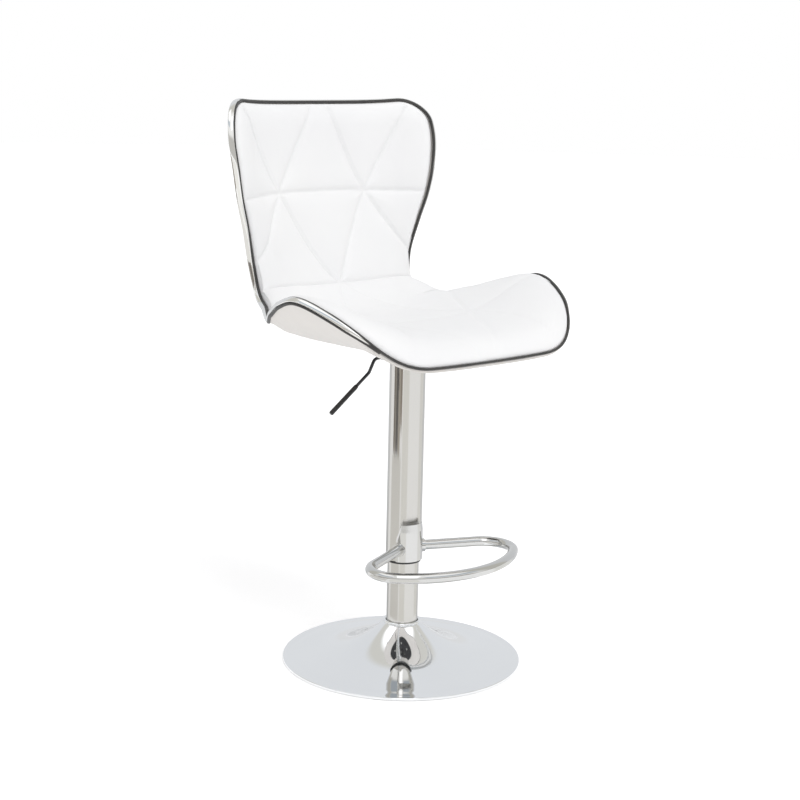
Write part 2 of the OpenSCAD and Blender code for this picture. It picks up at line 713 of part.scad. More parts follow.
// ---- lever and valve ----
module rod_to(a, b, r) {
  v = b - a;
  translate(a)
    rotate([0, atan2(norm([v[0], v[1]]), v[2]), atan2(v[1], v[0])])
    cylinder(h = norm(v), r = r, $fn = 48);
}
lv0 = [pivot_x, 0, lever_z - 5];
lv1 = [-68, 0, lever_z - 5];
lv2 = [-78, 0, 475];
lv3 = [-104, 0, 456];
lv_tip = [-152, 0, 421];
lv_end = lv_tip + 4 * unit(lv3 - lv_tip);
module lever_rod() {
  color([0.16, 0.16, 0.17])
  difference() {
    union() {
      rod_to([pivot_x, 0, lever_z - 0.5], [5, 0, lever_z - 0.5], lever_d / 2);
      rod_to(lv0, lv1, lever_d / 2);
      translate(lv1) sphere(lever_d / 2 + 0.1, $fn = 32);
      rod_to(lv1, lv2, lever_d / 2);
      translate(lv2) sphere(lever_d / 2 + 0.1, $fn = 32);
      rod_to(lv2, lv_end, lever_d / 2);
      translate([pivot_x, 8, pin_z]) rotate([90, 0, 0]) cylinder(h = 16, r = 5.4, $fn = 48);
    }
    translate([pivot_x, 20, pin_z]) rotate([90, 0, 0]) cylinder(h = 40, r = 3.05, $fn = 48);
  }
}
module lever_grip() {
  color([0.06, 0.06, 0.06])
  difference() {
    union() {
      rod_to(lv3, lv_tip, grip_d / 2);
      rod_to(lv3 + 1 * unit(lv2 - lv3), lv3, grip_d / 2 - 0.9);
    }
    rod_to(lv2, lv_end, lever_d / 2 + 0.02);
  }
}
module valve_button() {
  color([0.70, 0.70, 0.70])
  rotate_extrude($fn = 48)
    polygon([[0, 470], [3, 470], [3, button_top - 0.5 - 0.9], [2.1, button_top - 0.5], [0, button_top - 0.5]]);
}

base_shell();
foot_ring();
ballast_plate();
hub_sleeve();
base_plug();
base_screws();
lower_tube();
guide_bush();
lower_race();
bearing_cage();
bearing_balls();
upper_race();
piston_rod();
piston();
rod_clip();
gas_cylinder();
cylinder_gland();
upper_tube();
mouth_bush();
tube_cap();
footrest_saddle();
footrest_ring();
footrest_flanges();
footrest_screws();
seat_plate();
lift_housing();
taper_hub();
lever_pin();
seat_bolts();
bolt_washers();
threaded_inserts();
shell_core();
front_pad();
rear_pad();
edge_trim();
front_piping();
rear_piping();
lever_rod();
lever_grip();
valve_button();
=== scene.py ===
import json
import math

import bpy
import numpy as np
from mathutils import Matrix, Vector


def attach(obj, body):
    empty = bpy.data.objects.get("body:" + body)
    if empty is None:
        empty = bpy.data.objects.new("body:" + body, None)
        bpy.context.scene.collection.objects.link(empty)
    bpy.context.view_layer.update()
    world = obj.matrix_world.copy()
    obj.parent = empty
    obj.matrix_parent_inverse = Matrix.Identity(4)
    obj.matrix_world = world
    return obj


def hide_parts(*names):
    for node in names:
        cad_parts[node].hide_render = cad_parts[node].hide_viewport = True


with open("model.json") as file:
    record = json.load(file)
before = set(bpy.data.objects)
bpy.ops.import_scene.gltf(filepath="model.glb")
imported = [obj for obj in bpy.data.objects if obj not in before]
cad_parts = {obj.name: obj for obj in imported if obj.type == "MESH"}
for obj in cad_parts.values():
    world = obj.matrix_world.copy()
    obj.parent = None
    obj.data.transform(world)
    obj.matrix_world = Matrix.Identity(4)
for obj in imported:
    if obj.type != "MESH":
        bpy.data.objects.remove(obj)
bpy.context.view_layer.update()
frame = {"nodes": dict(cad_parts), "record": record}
nodes = frame["nodes"]
MM = 0.001  # the shapes below are worked out in mm

# ---------------------------------------------------------------- camera
# Round the column from the sitter's front, looking a little down, from DIST away at HEIGHT.
AZ, PITCH, ROLL, YAW = (math.radians(a) for a in (-41.60, 11.72, 1.30, -0.24))
DIST, HEIGHT, LENS = 2.603, 0.964, 76.4


def camera_axes():
    """The camera's right, up and forward directions."""
    fw0 = Vector((-math.sin(AZ), math.cos(AZ), 0))
    rt0 = Vector((math.cos(AZ), math.sin(AZ), 0))
    fw1 = fw0 * math.cos(YAW) + rt0 * math.sin(YAW)
    rt = rt0 * math.cos(YAW) - fw0 * math.sin(YAW)
    fw = fw1 * math.cos(PITCH) - Vector((0, 0, 1)) * math.sin(PITCH)
    up = rt.cross(fw)
    c, s = math.cos(ROLL), math.sin(ROLL)
    return rt * c + up * s, up * c - rt * s, fw


cam_data = bpy.data.cameras.new("camera")
cam = bpy.data.objects.new("camera", cam_data)
bpy.context.scene.collection.objects.link(cam)
r_, u_, f_ = camera_axes()
cam.matrix_world = Matrix((
    (r_.x, u_.x, -f_.x, DIST * math.sin(AZ)),
    (r_.y, u_.y, -f_.y, -DIST * math.cos(AZ)),
    (r_.z, u_.z, -f_.z, HEIGHT),
    (0, 0, 0, 1)))
cam_data.lens = LENS
cam_data.sensor_width = 36
cam_data.clip_start = 0.05
cam_data.clip_end = 60
bpy.context.scene.camera = cam
bpy.context.scene.view_settings.view_transform = "Standard"
bpy.context.scene.view_settings.look = "None"


# ---------------------------------------------------------------- material kit
class Mat:
    """A Principled material with helpers that add procedural detail in object space."""

    def __init__(self, name, color, rough, metal=0.0, **sockets):
        self.m = bpy.data.materials.new(name)
        self.m.use_nodes = True
        self.t = self.m.node_tree
        self.b = self.t.nodes["Principled BSDF"]
        self.b.inputs["Base Color"].default_value = (*color, 1)
        self.b.inputs["Roughness"].default_value = rough
        self.b.inputs["Metallic"].default_value = metal
        for k, v in sockets.items():
            self.b.inputs[k.replace("_", " ")].default_value = v
        self.co = self.node("ShaderNodeTexCoord").outputs["Object"]
        self.last = None

    def node(self, kind, **props):
        n = self.t.nodes.new(kind)
        for k, v in props.items():
            setattr(n, k, v)
        return n

    def link(self, a, b):
        self.t.links.new(a, b)

    def stretch(self, scale):
        n = self.node("ShaderNodeMapping")
        n.inputs["Scale"].default_value = scale
        self.link(self.co, n.inputs["Vector"])
        return n.outputs["Vector"]

    def noise(self, scale, detail=2.0, rough=0.5, vec=None):
        n = self.node("ShaderNodeTexNoise")
        n.inputs["Scale"].default_value = scale
        n.inputs["Detail"].default_value = detail
        n.inputs["Roughness"].default_value = rough
        self.link(vec or self.co, n.inputs["Vector"])
        return n.outputs["Fac"]

    def cells(self, scale, feature="F1", vec=None):
        n = self.node("ShaderNodeTexVoronoi", feature=feature)
        n.inputs["Scale"].default_value = scale
        self.link(vec or self.co, n.inputs["Vector"])
        return n.outputs["Distance"]

    def span(self, fac, lo, hi, out_lo, out_hi):
        n = self.node("ShaderNodeMapRange")
        for k, v in (("From Min", lo), ("From Max", hi), ("To Min", out_lo), ("To Max", out_hi)):
            n.inputs[k].default_value = v
        self.link(fac, n.inputs["Value"])
        return n.outputs["Result"]

    def tint(self, fac, lo, hi, c0, c1):
        n = self.node("ShaderNodeValToRGB")
        n.color_ramp.elements[0].position = lo
        n.color_ramp.elements[1].position = hi
        n.color_ramp.elements[0].color = (*c0, 1)
        n.color_ramp.elements[1].color = (*c1, 1)
        self.link(fac, n.inputs["Fac"])
        self.link(n.outputs["Color"], self.b.inputs["Base Color"])

    def rough(self, fac, lo, hi, r0, r1):
        self.link(self.span(fac, lo, hi, r0, r1), self.b.inputs["Roughness"])

    def bump(self, height, strength, dist):
        n = self.node("ShaderNodeBump")
        n.inputs["Strength"].default_value = strength
        n.inputs["Distance"].default_value = dist
        self.link(height, n.inputs["Height"])
        if self.last:
            self.link(self.last, n.inputs["Normal"])
        self.last = n.outputs["Normal"]
        self.link(self.last, self.b.inputs["Normal"])


def chrome(name, color, rough=0.05, wave=0.02):
    m = Mat(name, color, rough, 1.0)
    m.rough(m.noise(9, 3), 0.35, 0.7, rough * 0.7, rough * 1.5)
    c = m.noise(5, 2)
    m.tint(c, 0.3, 0.7, tuple(v * 0.985 for v in color), tuple(min(1, v * 1.01) for v in color))
    if wave:
        m.bump(m.noise(14, 1), wave, 0.004)
    m.bump(m.noise(900, 2, 0.6, m.stretch((1, 1, 0.06))), 0.02, 0.0002)
    return m.m


def leather(name, c0, c1, rough=0.42):
    m = Mat(name, c0, rough, 0.0, Specular_IOR_Level=0.45)
    m.b.inputs["Sheen Weight"].default_value = 0.05
    m.tint(m.noise(7, 3), 0.3, 0.72, c0, c1)
    m.rough(m.noise(60, 3), 0.3, 0.7, rough * 0.9, rough * 1.12)
    m.bump(m.noise(38, 3), 0.10, 0.002)
    m.bump(m.cells(620, "DISTANCE_TO_EDGE"), 0.16, 0.0004)
    m.bump(m.noise(1900, 2), 0.08, 0.0002)
    return m.m


def metal(name, color, rough, grain=(1, 1, 0.05), scale=700, strength=0.08):
    m = Mat(name, color, rough, 1.0)
    m.tint(m.noise(30, 4), 0.3, 0.7, tuple(v * 0.9 for v in color), tuple(min(1, v * 1.06) for v in color))
    m.rough(m.noise(120, 3), 0.3, 0.7, rough * 0.8, rough * 1.25)
    m.bump(m.noise(scale, 3, 0.6, m.stretch(grain)), strength, 0.0004)
    return m.m


def coated(name, c0, c1, rough, scale=420, strength=0.12, dist=0.0004):
    m = Mat(name, c0, rough, 0.0)
    m.tint(m.noise(24, 4), 0.35, 0.7, c0, c1)
    m.rough(m.noise(90, 3), 0.3, 0.7, rough * 0.85, min(1, rough * 1.2))
    m.bump(m.cells(scale), strength, dist)
    return m.m


def plywood(name):
    m = Mat(name, (0.60, 0.43, 0.26), 0.6)
    g = m.noise(30, 5, 0.62, m.stretch((1, 0.07, 0.07)))
    m.tint(g, 0.32, 0.68, (0.48, 0.32, 0.18), (0.70, 0.53, 0.34))
    m.bump(g, 0.2, 0.0006)
    return m.m


def cord_cloth(name):
    m = Mat(name, (0.036, 0.034, 0.033), 0.40)
    m.tint(m.noise(40, 3), 0.35, 0.7, (0.030, 0.029, 0.028), (0.046, 0.044, 0.042))
    m.bump(m.noise(60, 2), 0.25, 0.0012)
    m.bump(m.cells(900, "DISTANCE_TO_EDGE"), 0.15, 0.0003)
    return m.m


MATS = {
    "chrome_base": chrome("chrome_base", (0.845, 0.855, 0.866), 0.045, 0.012),
    "chrome_column": chrome("chrome_column", (0.575, 0.567, 0.545), 0.07, 0.02),
    "chrome_footrest": chrome("chrome_footrest", (0.62, 0.62, 0.612), 0.06, 0.0),
    "chrome_trim": chrome("chrome_trim", (0.80, 0.80, 0.79), 0.09, 0.0),
    "rubber_foot": coated("rubber_foot", (0.022, 0.022, 0.022), (0.036, 0.035, 0.034), 0.75),
    "cast_ballast": coated("cast_ballast", (0.10, 0.10, 0.105), (0.16, 0.155, 0.15), 0.7, 260, 0.5, 0.0012),
    "plain_steel": metal("plain_steel", (0.52, 0.52, 0.53), 0.34),
    "zinc_fastener": metal("zinc_fastener", (0.66, 0.66, 0.62), 0.3, (1, 1, 1), 420, 0.12),
    "nylon_black": coated("nylon_black", (0.018, 0.018, 0.018), (0.03, 0.03, 0.031), 0.42),
    "bearing_steel": metal("bearing_steel", (0.74, 0.74, 0.75), 0.16),
    "cage_brass": metal("cage_brass", (0.66, 0.47, 0.20), 0.3),
    "piston_metal": metal("piston_metal", (0.40, 0.40, 0.42), 0.35),
    "black_paint": coated("black_paint", (0.028, 0.028, 0.031), (0.045, 0.045, 0.047), 0.36, 700, 0.2),
    "black_screw": metal("black_screw", (0.06, 0.06, 0.065), 0.4),
    "insert_brass": metal("insert_brass", (0.68, 0.54, 0.26), 0.32),
    "moulded_ply": plywood("moulded_ply"),
    "white_leather": leather("white_leather", (0.80, 0.80, 0.805), (0.825, 0.825, 0.825)),
    # rear pad: the same white leather, coloured darker beige as painted shade for the underside and the wings'
    # outer faces
    "white_leather_rear": leather("white_leather_rear", (0.675, 0.647, 0.615), (0.705, 0.68, 0.652)),
    "black_piping": cord_cloth("black_piping"),
    "lever_steel": coated("lever_steel", (0.03, 0.03, 0.033), (0.05, 0.05, 0.052), 0.3, 800, 0.1),
    "grip_rubber": coated("grip_rubber", (0.010, 0.010, 0.011), (0.015, 0.015, 0.016), 0.16),
}


def underside_painted_shade(mat, reach):
    """Paints shade: blackens a round patch of the underside about the column axis, a painted shade standing in
    for the shaded underside that the base reflects.
    """
    t = mat.node_tree
    b = t.nodes["Principled BSDF"]
    put = t.nodes.new
    co = put("ShaderNodeTexCoord").outputs["Object"]
    flat = put("ShaderNodeVectorMath")
    flat.operation = "MULTIPLY"
    flat.inputs[1].default_value = (1, 1, 0)
    t.links.new(co, flat.inputs[0])
    far = put("ShaderNodeVectorMath")
    far.operation = "LENGTH"
    t.links.new(flat.outputs["Vector"], far.inputs[0])
    fac = put("ShaderNodeMapRange")
    fac.inputs["From Min"].default_value = reach + 0.001
    fac.inputs["From Max"].default_value = reach - 0.001
    t.links.new(far.outputs["Value"], fac.inputs["Value"])
    mix = put("ShaderNodeMix")
    mix.data_type = "RGBA"
    a, c = [i for i in mix.inputs if i.type == "RGBA"]
    t.links.new(b.inputs["Base Color"].links[0].from_socket, a)
    # near-black colour of the painted shade patch
    c.default_value = (0.022, 0.022, 0.024, 1)
    t.links.new(fac.outputs["Result"], mix.inputs["Factor"])
    t.links.new([o for o in mix.outputs if o.type == "RGBA"][0], b.inputs["Base Color"])


# radius of the painted shade patch under the seat
SHADE_PATCH_REACH = 0.118
underside_painted_shade(MATS["white_leather_rear"], SHADE_PATCH_REACH)
SLOT = {s["node"]: s["material_slot"] for s in frame["record"]["subparts"]}
for name, o in nodes.items():
    o.data.materials.clear()
    o.data.materials.append(MATS[SLOT[name]])


# ---------------------------------------------------------------- mesh kit
def add_mesh(name, verts, faces, body, node, smooth=True):
    me = bpy.data.meshes.new(name)
    me.from_pydata([tuple(float(c) for c in v) for v in verts], [], [tuple(int(i) for i in f) for f in faces])
    me.validate()
    me.update()
    if smooth:
        me.polygons.foreach_set("use_smooth", [True] * len(me.polygons))
    o = bpy.data.objects.new(name, me)
    bpy.context.scene.collection.objects.link(o)
    slot = SLOT[node]
    me.materials.append(MATS[slot])
    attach(o, body)
    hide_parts(node)
    return o


def crease(o, angle=35):
    m = o.modifiers.new("edges", "EDGE_SPLIT")
    m.split_angle = math.radians(angle)
    return o


def lathe(name, profile, body, node, n=192):
    """A closed profile of [radius, height] in mm, turned about the column axis."""
    k = len(profile)
    a = np.arange(n) * 2 * math.pi / n
    p = np.array(profile, float) * MM
    verts = [(r * math.cos(t), r * math.sin(t), h) for t in a for r, h in p]
    faces = [(i * k + j, ((i + 1) % n) * k + j, ((i + 1) % n) * k + (j + 1) % k, i * k + (j + 1) % k)
             for i in range(n) for j in range(k)]
    return crease(add_mesh(name, verts, faces, body, node))


def frames_along(path, up):
    """Unit tangents and two cross directions at each point of a path, up being the first one's hint."""
    path = np.asarray(path, float)
    d = np.gradient(path, axis=0)
    d /= np.linalg.norm(d, axis=1, keepdims=True)
    n = np.asarray(up, float) - d * (d @ np.asarray(up, float))[:, None]
    n /= np.linalg.norm(n, axis=1, keepdims=True)
    return d, n, np.cross(d, n)


def tube(name, path, radius, body, node, sides=28, up=(0, 0, 1)):
    """A round rod along a path in mm, radius a number or one per point, with flat ends."""
    d, n, b = frames_along(path, up)
    path = np.asarray(path, float)
    rad = np.broadcast_to(np.asarray(radius, float), (len(path),))
    a = np.arange(sides) * 2 * math.pi / sides
    m = len(path)
    ring = [(path[i] + rad[i] * (math.cos(t) * n[i] + math.sin(t) * b[i])) * MM
            for i in range(m) for t in a]
    faces = [(i * sides + j, i * sides + (j + 1) % sides,
              (i + 1) * sides + (j + 1) % sides, (i + 1) * sides + j)
             for i in range(m - 1) for j in range(sides)]
    faces += [tuple(range(sides))[::-1], tuple((m - 1) * sides + j for j in range(sides))]
    return crease(add_mesh(name, ring, faces, body, node))


def fillet(points, radius, steps=10):
    """A path of straight runs with round bends of one radius."""
    p = [np.array(q, float) for q in points]
    out = [p[0]]
    for a, b, c in zip(p, p[1:], p[2:]):
        u, v = (a - b) / np.linalg.norm(a - b), (c - b) / np.linalg.norm(c - b)
        half = math.acos(max(-1, min(1, float(u @ v)))) / 2
        reach = radius / math.tan(half)
        mid = (u + v) / np.linalg.norm(u + v)
        centre = b + mid * radius / math.sin(half)
        s, e = b + u * reach - centre, b + v * reach - centre
        ang = math.pi - 2 * half
        for i in range(steps + 1):
            w = i / steps
            out.append(centre + (s * math.sin((1 - w) * ang) + e * math.sin(w * ang)) / math.sin(ang))
    out.append(p[-1])
    return out


# ---------------------------------------------------------------- the seat sheet
# Stations from the front edge of the seat over the fold to the top of the back: centreline
# y, z, half width, edge rise in y and z, power of the cross curve, thickness of the front pad.
ST = np.array([
    [-181.5, 512.5, 197, -11, 10, 3.0, 26],
    [-130, 523, 215, -9.5, 43, 2.9, 30],
    [-82, 526.5, 237.5, 0.5, 71, 2.8, 30],
    [-33, 527, 247.5, -1, 82, 2.8, 30],
    [16, 527.5, 241.5, -4, 69.5, 2.8, 30],
    [64, 530, 221, -3.5, 46, 2.8, 29],
    [111, 539, 189, -1, 25.5, 2.8, 27],
    [153, 556, 168.5, -8, 12, 2.8, 25],
    [187, 581, 158, -11, 3, 3.0, 24],
    [209, 622, 162, -23.5, 6, 3.3, 22],
    [225, 670, 175.5, -45, 12, 3.6, 21],
    [236, 718, 190, -61, 10, 3.8, 21],
    [242, 766, 199, -68.5, 8, 4.0, 20],
    [242, 820, 203.5, -62.5, 6, 4.2, 19],
    [236.5, 875, 193.5, -43, 9.5, 4.6, 16]], float)
TOP = len(ST) - 1
RF, RT = 80.0, 38.0  # corner radii at the front edge and at the top
# thickness of the rear pad at its rim on the seat, on the back and at the front, and extra inside
EDGE, BACK, THIN, BELLY = 9.0, 7.5, 7.2, 8.0
ROLL, WING = 34.0, 30.0  # width of the front cushion's rounded edge, and what the seat's wings add
PLATE = 509.65  # underside where the seat plate bears
GHOST = np.vstack([2 * ST[0] - ST[1], ST, 2 * ST[-1] - ST[-2]])
SF = float(np.hypot(*(ST[1] - ST[0])[:2]))
STP = float(np.hypot(*(ST[-1] - ST[-2])[:2]))


def ramp(a):
    b = np.clip(a, 0, 1)
    return b * b * (3 - 2 * b)


def station(t):
    t = np.asarray(t, float)
    i = np.clip(np.floor(t).astype(int), 0, TOP - 1)
    f = (t - i)[..., None]
    a, b, c, d = GHOST[i], GHOST[i + 1], GHOST[i + 2], GHOST[np.minimum(i + 3, TOP + 2)]
    return 0.5 * (2 * b + (c - a) * f + (2 * a - 5 * b + 4 * c - d) * f * f
                  + (3 * b - a - 3 * c + d) * f ** 3)


def sheet(x, t):
    x, t = np.broadcast_arrays(np.asarray(x, float), np.asarray(t, float))
    s = station(t)
    k = (np.abs(x) / s[..., 2]) ** s[..., 5]
    dip = 7.0 * np.maximum(0, 1 - np.abs(t - 6) / 0.9)
    return np.stack([x, s[..., 0] + s[..., 3] * k, s[..., 1] + (s[..., 4] - dip) * k], -1)


def normal(x, t):
    n = np.cross(sheet(x + 1.0, t) - sheet(x - 1.0, t), sheet(x, t + 0.04) - sheet(x, t - 0.04))
    return n / np.linalg.norm(n, axis=-1, keepdims=True)


def off(x, t, d):
    return sheet(x, t) + normal(x, t) * np.asarray(d)[..., None]


def from_front(t):
    return np.asarray(t, float) * SF


def from_top(t):
    return (TOP - np.asarray(t, float)) * STP


def round_in(r, m, l):
    return np.where(l < r, np.sqrt(np.maximum(0, (r - m) ** 2 - (r - l) ** 2)) - r, -m)


def half(t, m):
    return station(t)[..., 2] + np.minimum(round_in(RF, m, from_front(t)), round_in(RT, m, from_top(t)))


def depth(x, t):
    k = (np.abs(x) / station(t)[..., 2]) ** 6
    edge = EDGE + (BACK - EDGE) * ramp((t - 5.6) / 0.8)
    mid = THIN + (edge - THIN) * ramp(from_front(t) / 34)
    side = THIN + (edge - THIN) * ramp((from_front(t) - 26) / 84)
    inner = ramp((half(t, 0) - np.abs(x)) / 45) * ramp(from_top(t) / 45) * ramp(from_front(t) / 60)
    return mid * (1 - k) + side * k + BELLY * inner


def quarter(d, w):
    a = np.clip(d / w, 0, 1)
    return np.sqrt(np.maximum(0, 1 - (1 - a) ** 2))


def crown(x, t, m):
    w = ROLL + WING * ramp((7.4 - t) / 2.4)
    return 1.8 + (station(t)[..., 6] - 1.8) * quarter(half(t, m) - np.abs(x), w) \
        * quarter(from_front(t) - m, ROLL) * quarter(from_top(t) - m, ROLL)


def rows(m, nf, nm, nt):
    a = [(m + (RF - m) * (1 - math.cos(math.pi / 2 * i / nf))) / SF for i in range(nf)]
    b = [RF / SF + (TOP - RT / STP - RF / SF) * i / nm for i in range(nm + 1)]
    c = [TOP - (RT - (RT - m) * math.sin(math.pi / 2 * i / nt)) / STP for i in range(1, nt + 1)]
    return np.array(a + b + c)


def grid(m, nf, nm, nt, nx):
    """Matching x and t grids over the whole outline inset by m, closer together at the sides."""
    t = rows(m, nf, nm, nt)
    u = np.linspace(-1, 1, nx)
    u = 0.55 * u + 0.45 * np.sin(u * math.pi / 2)
    T = np.repeat(t[:, None], nx, 1)
    return half(T, m) * u[None, :], T


# Quilting seams as lines on the sheet, [x, station]: a horizontal seam across the back, a
# zigzag above and below it, the fold, and the zigzag's mirror image on the seat.
def seam_lines():
    xs = np.linspace(-1, 1, 25)
    hz = [(185 * s, 11.3 - 0.24 * s * s) for s in xs]
    fold = [(158 * s, 7.85 + 0.12 * s * s) for s in xs]
    row = [(245 * s, 3.1 - 0.25 * s * s) for s in xs]
    out = [(hz, 1.0), (fold, 0.9), (row, 0.35)]
    for s in (-1, 1):
        p, q = (90 * s, 11.25), (102 * s, 3.05)
        out += [([p, (0, 7.85)], 0.85), ([p, (160 * s, 8.95)], 0.8),
                ([p, (13 * s, 14.0)], 0.9), ([p, (176 * s, 14.0)], 0.8),
                ([q, (0, 7.85)], 0.4), ([q, (185 * s, 6.1)], 0.4),
                ([q, (15 * s, 0)], 0.3), ([q, (150 * s, 0)], 0.3)]
    return out


def seam_field(x, t):
    """Sum of groove profiles: distance in mm to each seam, sharp at the stitch and soft beside it."""
    P = sheet(x, t)
    deep = np.zeros(x.shape)
    wide = np.zeros(x.shape)
    for line, power in seam_lines():
        pts = np.array(line, float)
        fine = np.vstack([np.linspace(a, b, 24, endpoint=False) for a, b in zip(pts, pts[1:])] + [pts[-1:]])
        L = sheet(fine[:, 0], np.clip(fine[:, 1], 0, TOP))
        d2 = np.full(x.shape, 1e9)
        for a, b in zip(L, L[1:]):
            ab = b - a
            w = np.clip(((P - a) @ ab) / (ab @ ab + 1e-9), 0, 1)
            d2 = np.minimum(d2, ((P - a - w[..., None] * ab) ** 2).sum(-1))
        d = np.sqrt(d2)
        deep = np.maximum(deep, power * np.exp(-(d / 2.6) ** 2))
        wide = np.maximum(wide, power * np.exp(-d / 13.0))
    return deep, wide


def shell_mesh(name, top, bottom, body, node):
    """Two matching grids of points joined round their rims into one closed skin."""
    a, b = top.shape[:2]
    n = a * b
    i, j = np.meshgrid(np.arange(a - 1), np.arange(b - 1), indexing="ij")
    q = (i * b + j).ravel()
    faces = [(k, k + 1, k + b + 1, k + b) for k in q]
    faces += [(n + k, n + k + b, n + k + b + 1, n + k + 1) for k in q]
    rim = [k for k in range(b)] + [k * b + b - 1 for k in range(1, a)] \
        + [(a - 1) * b + k for k in range(b - 2, -1, -1)] + [k * b for k in range(a - 2, 0, -1)]
    faces += [(k, n + k, n + j, j) for k, j in zip(rim, rim[1:] + rim[:1])]
    verts = np.vstack([top.reshape(-1, 3), bottom.reshape(-1, 3)]) * MM
    return add_mesh(name, verts, faces, body, node)


FRONT_INSET, REAR_INSET = 2.9, 1.6  # from the outline to each cushion's rim
STITCH, VALLEY = 1.9, 5.2  # depth of a seam's narrow groove and of the soft dip round it
SWELL = 5.5  # how far the cushion stands out over the piping at the waist

X, T = grid(FRONT_INSET, 14, 210, 12, 181)
deep, wide = seam_field(X, T)
H = crown(X, T, FRONT_INSET)
fade = ramp((H - 2) / 12)
H = H - fade * (STITCH * deep + VALLEY * wide)
skin = off(X, T, H)
reach_in = half(T, FRONT_INSET) - np.abs(X)
swell = SWELL * ramp((T - 5.2) / 1.2) * ramp((10.2 - T) / 1.6) * ramp(reach_in / 5) * ramp((34 - reach_in) / 24)
skin[..., 0] += np.sign(X) * swell
front = shell_mesh("front_cushion", skin, off(X, T, np.full(X.shape, 0.3)), "seat_column", "front_pad")

X, T = grid(REAR_INSET, 12, 120, 12, 91)
D = depth(X, T)
back_face = off(X, T, -D)
w = ramp((88 - np.abs(back_face[..., 0])) / 24) * ramp((96 - np.abs(back_face[..., 1])) / 24)
back_face[..., 2] += (PLATE - back_face[..., 2]) * w
rear = shell_mesh("rear_panel", off(X, T, np.full(X.shape, -2.3)), back_face, "seat_column", "rear_pad")


# ---------------------------------------------------------------- pipings and edge trim
def outline():
    side = [t for t in rows(0, 22, 150, 16) if 1e-9 < t < TOP - 1e-9]
    fx, tx = ST[0][2] - RF, ST[-1][2] - RT
    right = [(float(half(np.array(t), 0)), t) for t in side]
    left = [(-x, t) for x, t in right[::-1]]
    front = [(fx * i / 14, 0) for i in range(-14, 15)]
    top = [(-tx * i / 14, TOP) for i in range(-14, 15)]
    return front, right, top, left


def band(line, lift, closed):
    """Centre points and the outward and normal directions along a line on the sheet."""
    L = np.array(line, float)
    c = off(L[:, 0], L[:, 1], lift)
    nx = np.roll(c, -1, 0) - np.roll(c, 1, 0)
    if not closed:
        nx[0], nx[-1] = c[1] - c[0], c[-1] - c[-2]
    d = nx / np.linalg.norm(nx, axis=1, keepdims=True)
    n = normal(L[:, 0], L[:, 1])
    n = n - d * (n * d).sum(1, keepdims=True)
    n /= np.linalg.norm(n, axis=1, keepdims=True)
    return c, np.cross(d, n), n


def strip(name, c, o, n, sections, closed, node):
    """Joins one section per centre point; a section is a list of [outwards, along the normal]."""
    m, k = len(c), len(sections[0])
    verts = [(c[i] + o[i] * q[0] + n[i] * q[1]) * MM for i in range(m) for q in sections[i]]
    last = m if closed else m - 1
    faces = [(i * k + j, i * k + (j + 1) % k, ((i + 1) % m) * k + (j + 1) % k, ((i + 1) % m) * k + j)
             for i in range(last) for j in range(k)]
    if not closed:
        faces += [tuple(range(k))[::-1], tuple((m - 1) * k + j for j in range(k))]
    return add_mesh(name, verts, faces, "seat_column", node)


PR, FR = 2.25, 1.9  # radii of the rear and the front piping
OPEN = 31  # where the rear piping and the bright strip start, from the front edge
front_e, right_e, top_e, left_e = outline()
ring_line = front_e + right_e + top_e + left_e
c, o_, n_ = band(ring_line, np.zeros(len(ring_line)), True)
circle = [(math.cos(a), math.sin(a)) for a in np.arange(14) * 2 * math.pi / 14]
wob = [1 + 0.05 * math.sin(i * 0.37) + 0.04 * math.sin(i * 0.91 + 1) for i in range(len(c))]
strip("front_cord", c, o_, n_, [[(FR * w * a, FR * w * b) for a, b in circle] for w in wob], True,
      "front_piping")

open_line = [p for p in right_e + top_e + left_e if from_front(p[1]) > OPEN]
L = np.array(open_line)
dep = depth(L[:, 0], L[:, 1])
tip = ramp((from_front(L[:, 1]) - OPEN) / 42)
back = ramp((L[:, 1] - 5.7) / 1.0)
rear_at = 2.4 + (dep - 1.3 * back - 2.4) * tip
c, o_, n_ = band(open_line, -rear_at, False)
strip("rear_cord", c, o_, n_,
      [[(PR * a - (2 + 1.4 * b_) * g, PR * b) for a, b in circle] for g, b_ in zip(tip, back)],
      False, "rear_piping")

# the bright strip: a shallow dome from beside the front piping to just over the rear one
c, o_, n_ = band(open_line, np.zeros(len(open_line)), False)
dome = []
for d, g, b_ in zip(dep, tip, back):
    far = -(1.6 + (d - 2.4 + 2.6 * b_) * g)
    arc = [(2.45 + 1.15 * g * math.sin(a) - 0.7 * g * (1 - math.cos(a)) / 2,
            -0.4 + (far + 0.4) * (1 - math.cos(a)) / 2)
           for a in np.linspace(0, math.pi, 13)]
    inner = 0.5 - 0.3 * (1 - g)
    dome.append([(x - 2.0 * (1 - g), y) for x, y in arc] + [(inner, far), (inner, min(-2.6, far * 0.6))])
strip("chrome_edge", c, o_, n_, dome, False, "edge_trim")

# ---------------------------------------------------------------- base and column
# radius, height at the rim, radius where the gently sloping plate meets the sweep up to the neck,
# the plate's slope and the sweep's radius
BR, RIM, FLAT, SLOPE, SWEEP = 190.5, 5.0, 144.0, math.radians(4.5), 180.0
FZ = RIM + (BR - FLAT) * math.tan(SLOPE)
SX, SZ = FLAT + SWEEP * math.sin(SLOPE), FZ + SWEEP * math.cos(SLOPE)


def sweep_arc(r, z_end, n=70):
    end = math.asin((SZ - z_end) / r)
    start = math.pi / 2 - SLOPE
    return [(SX - r * math.cos(a), SZ - r * math.sin(a)) for a in np.linspace(start, end, n)]


